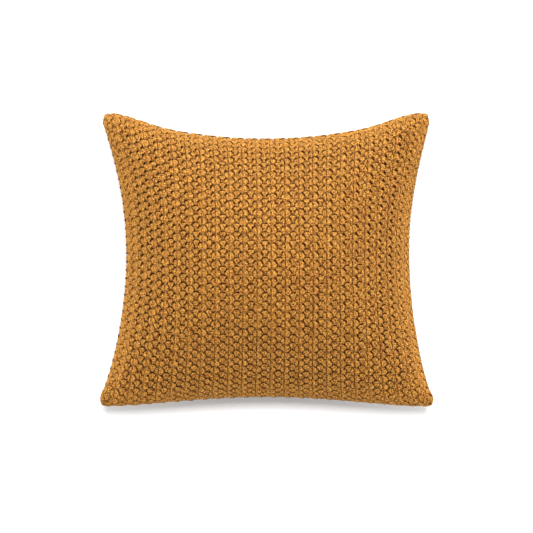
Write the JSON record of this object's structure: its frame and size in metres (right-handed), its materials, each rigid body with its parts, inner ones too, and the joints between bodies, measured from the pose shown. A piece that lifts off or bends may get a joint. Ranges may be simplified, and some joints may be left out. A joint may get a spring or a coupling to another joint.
{
  "type": "knitted throw pillow",
  "caption": "Square knitted throw pillow: a filled cushion with a crowned face, drawn-in sides and pointed corners, lying on its back.",
  "frame": {"origin": "on the surface that the pillow lies on, under the middle of its outline", "axes": "+Z out of the pillow's face, +X to its right, +Y to its top edge"},
  "size_m": [0.4496, 0.3952, 0.158],
  "materials": {
    "knitted_cover": "matt, thick multi-ply knitting yarn in mustard"
  },
  "bodies": {
    "root": {"cushion": "knitted_cover"}
  },
  "joints": []
}
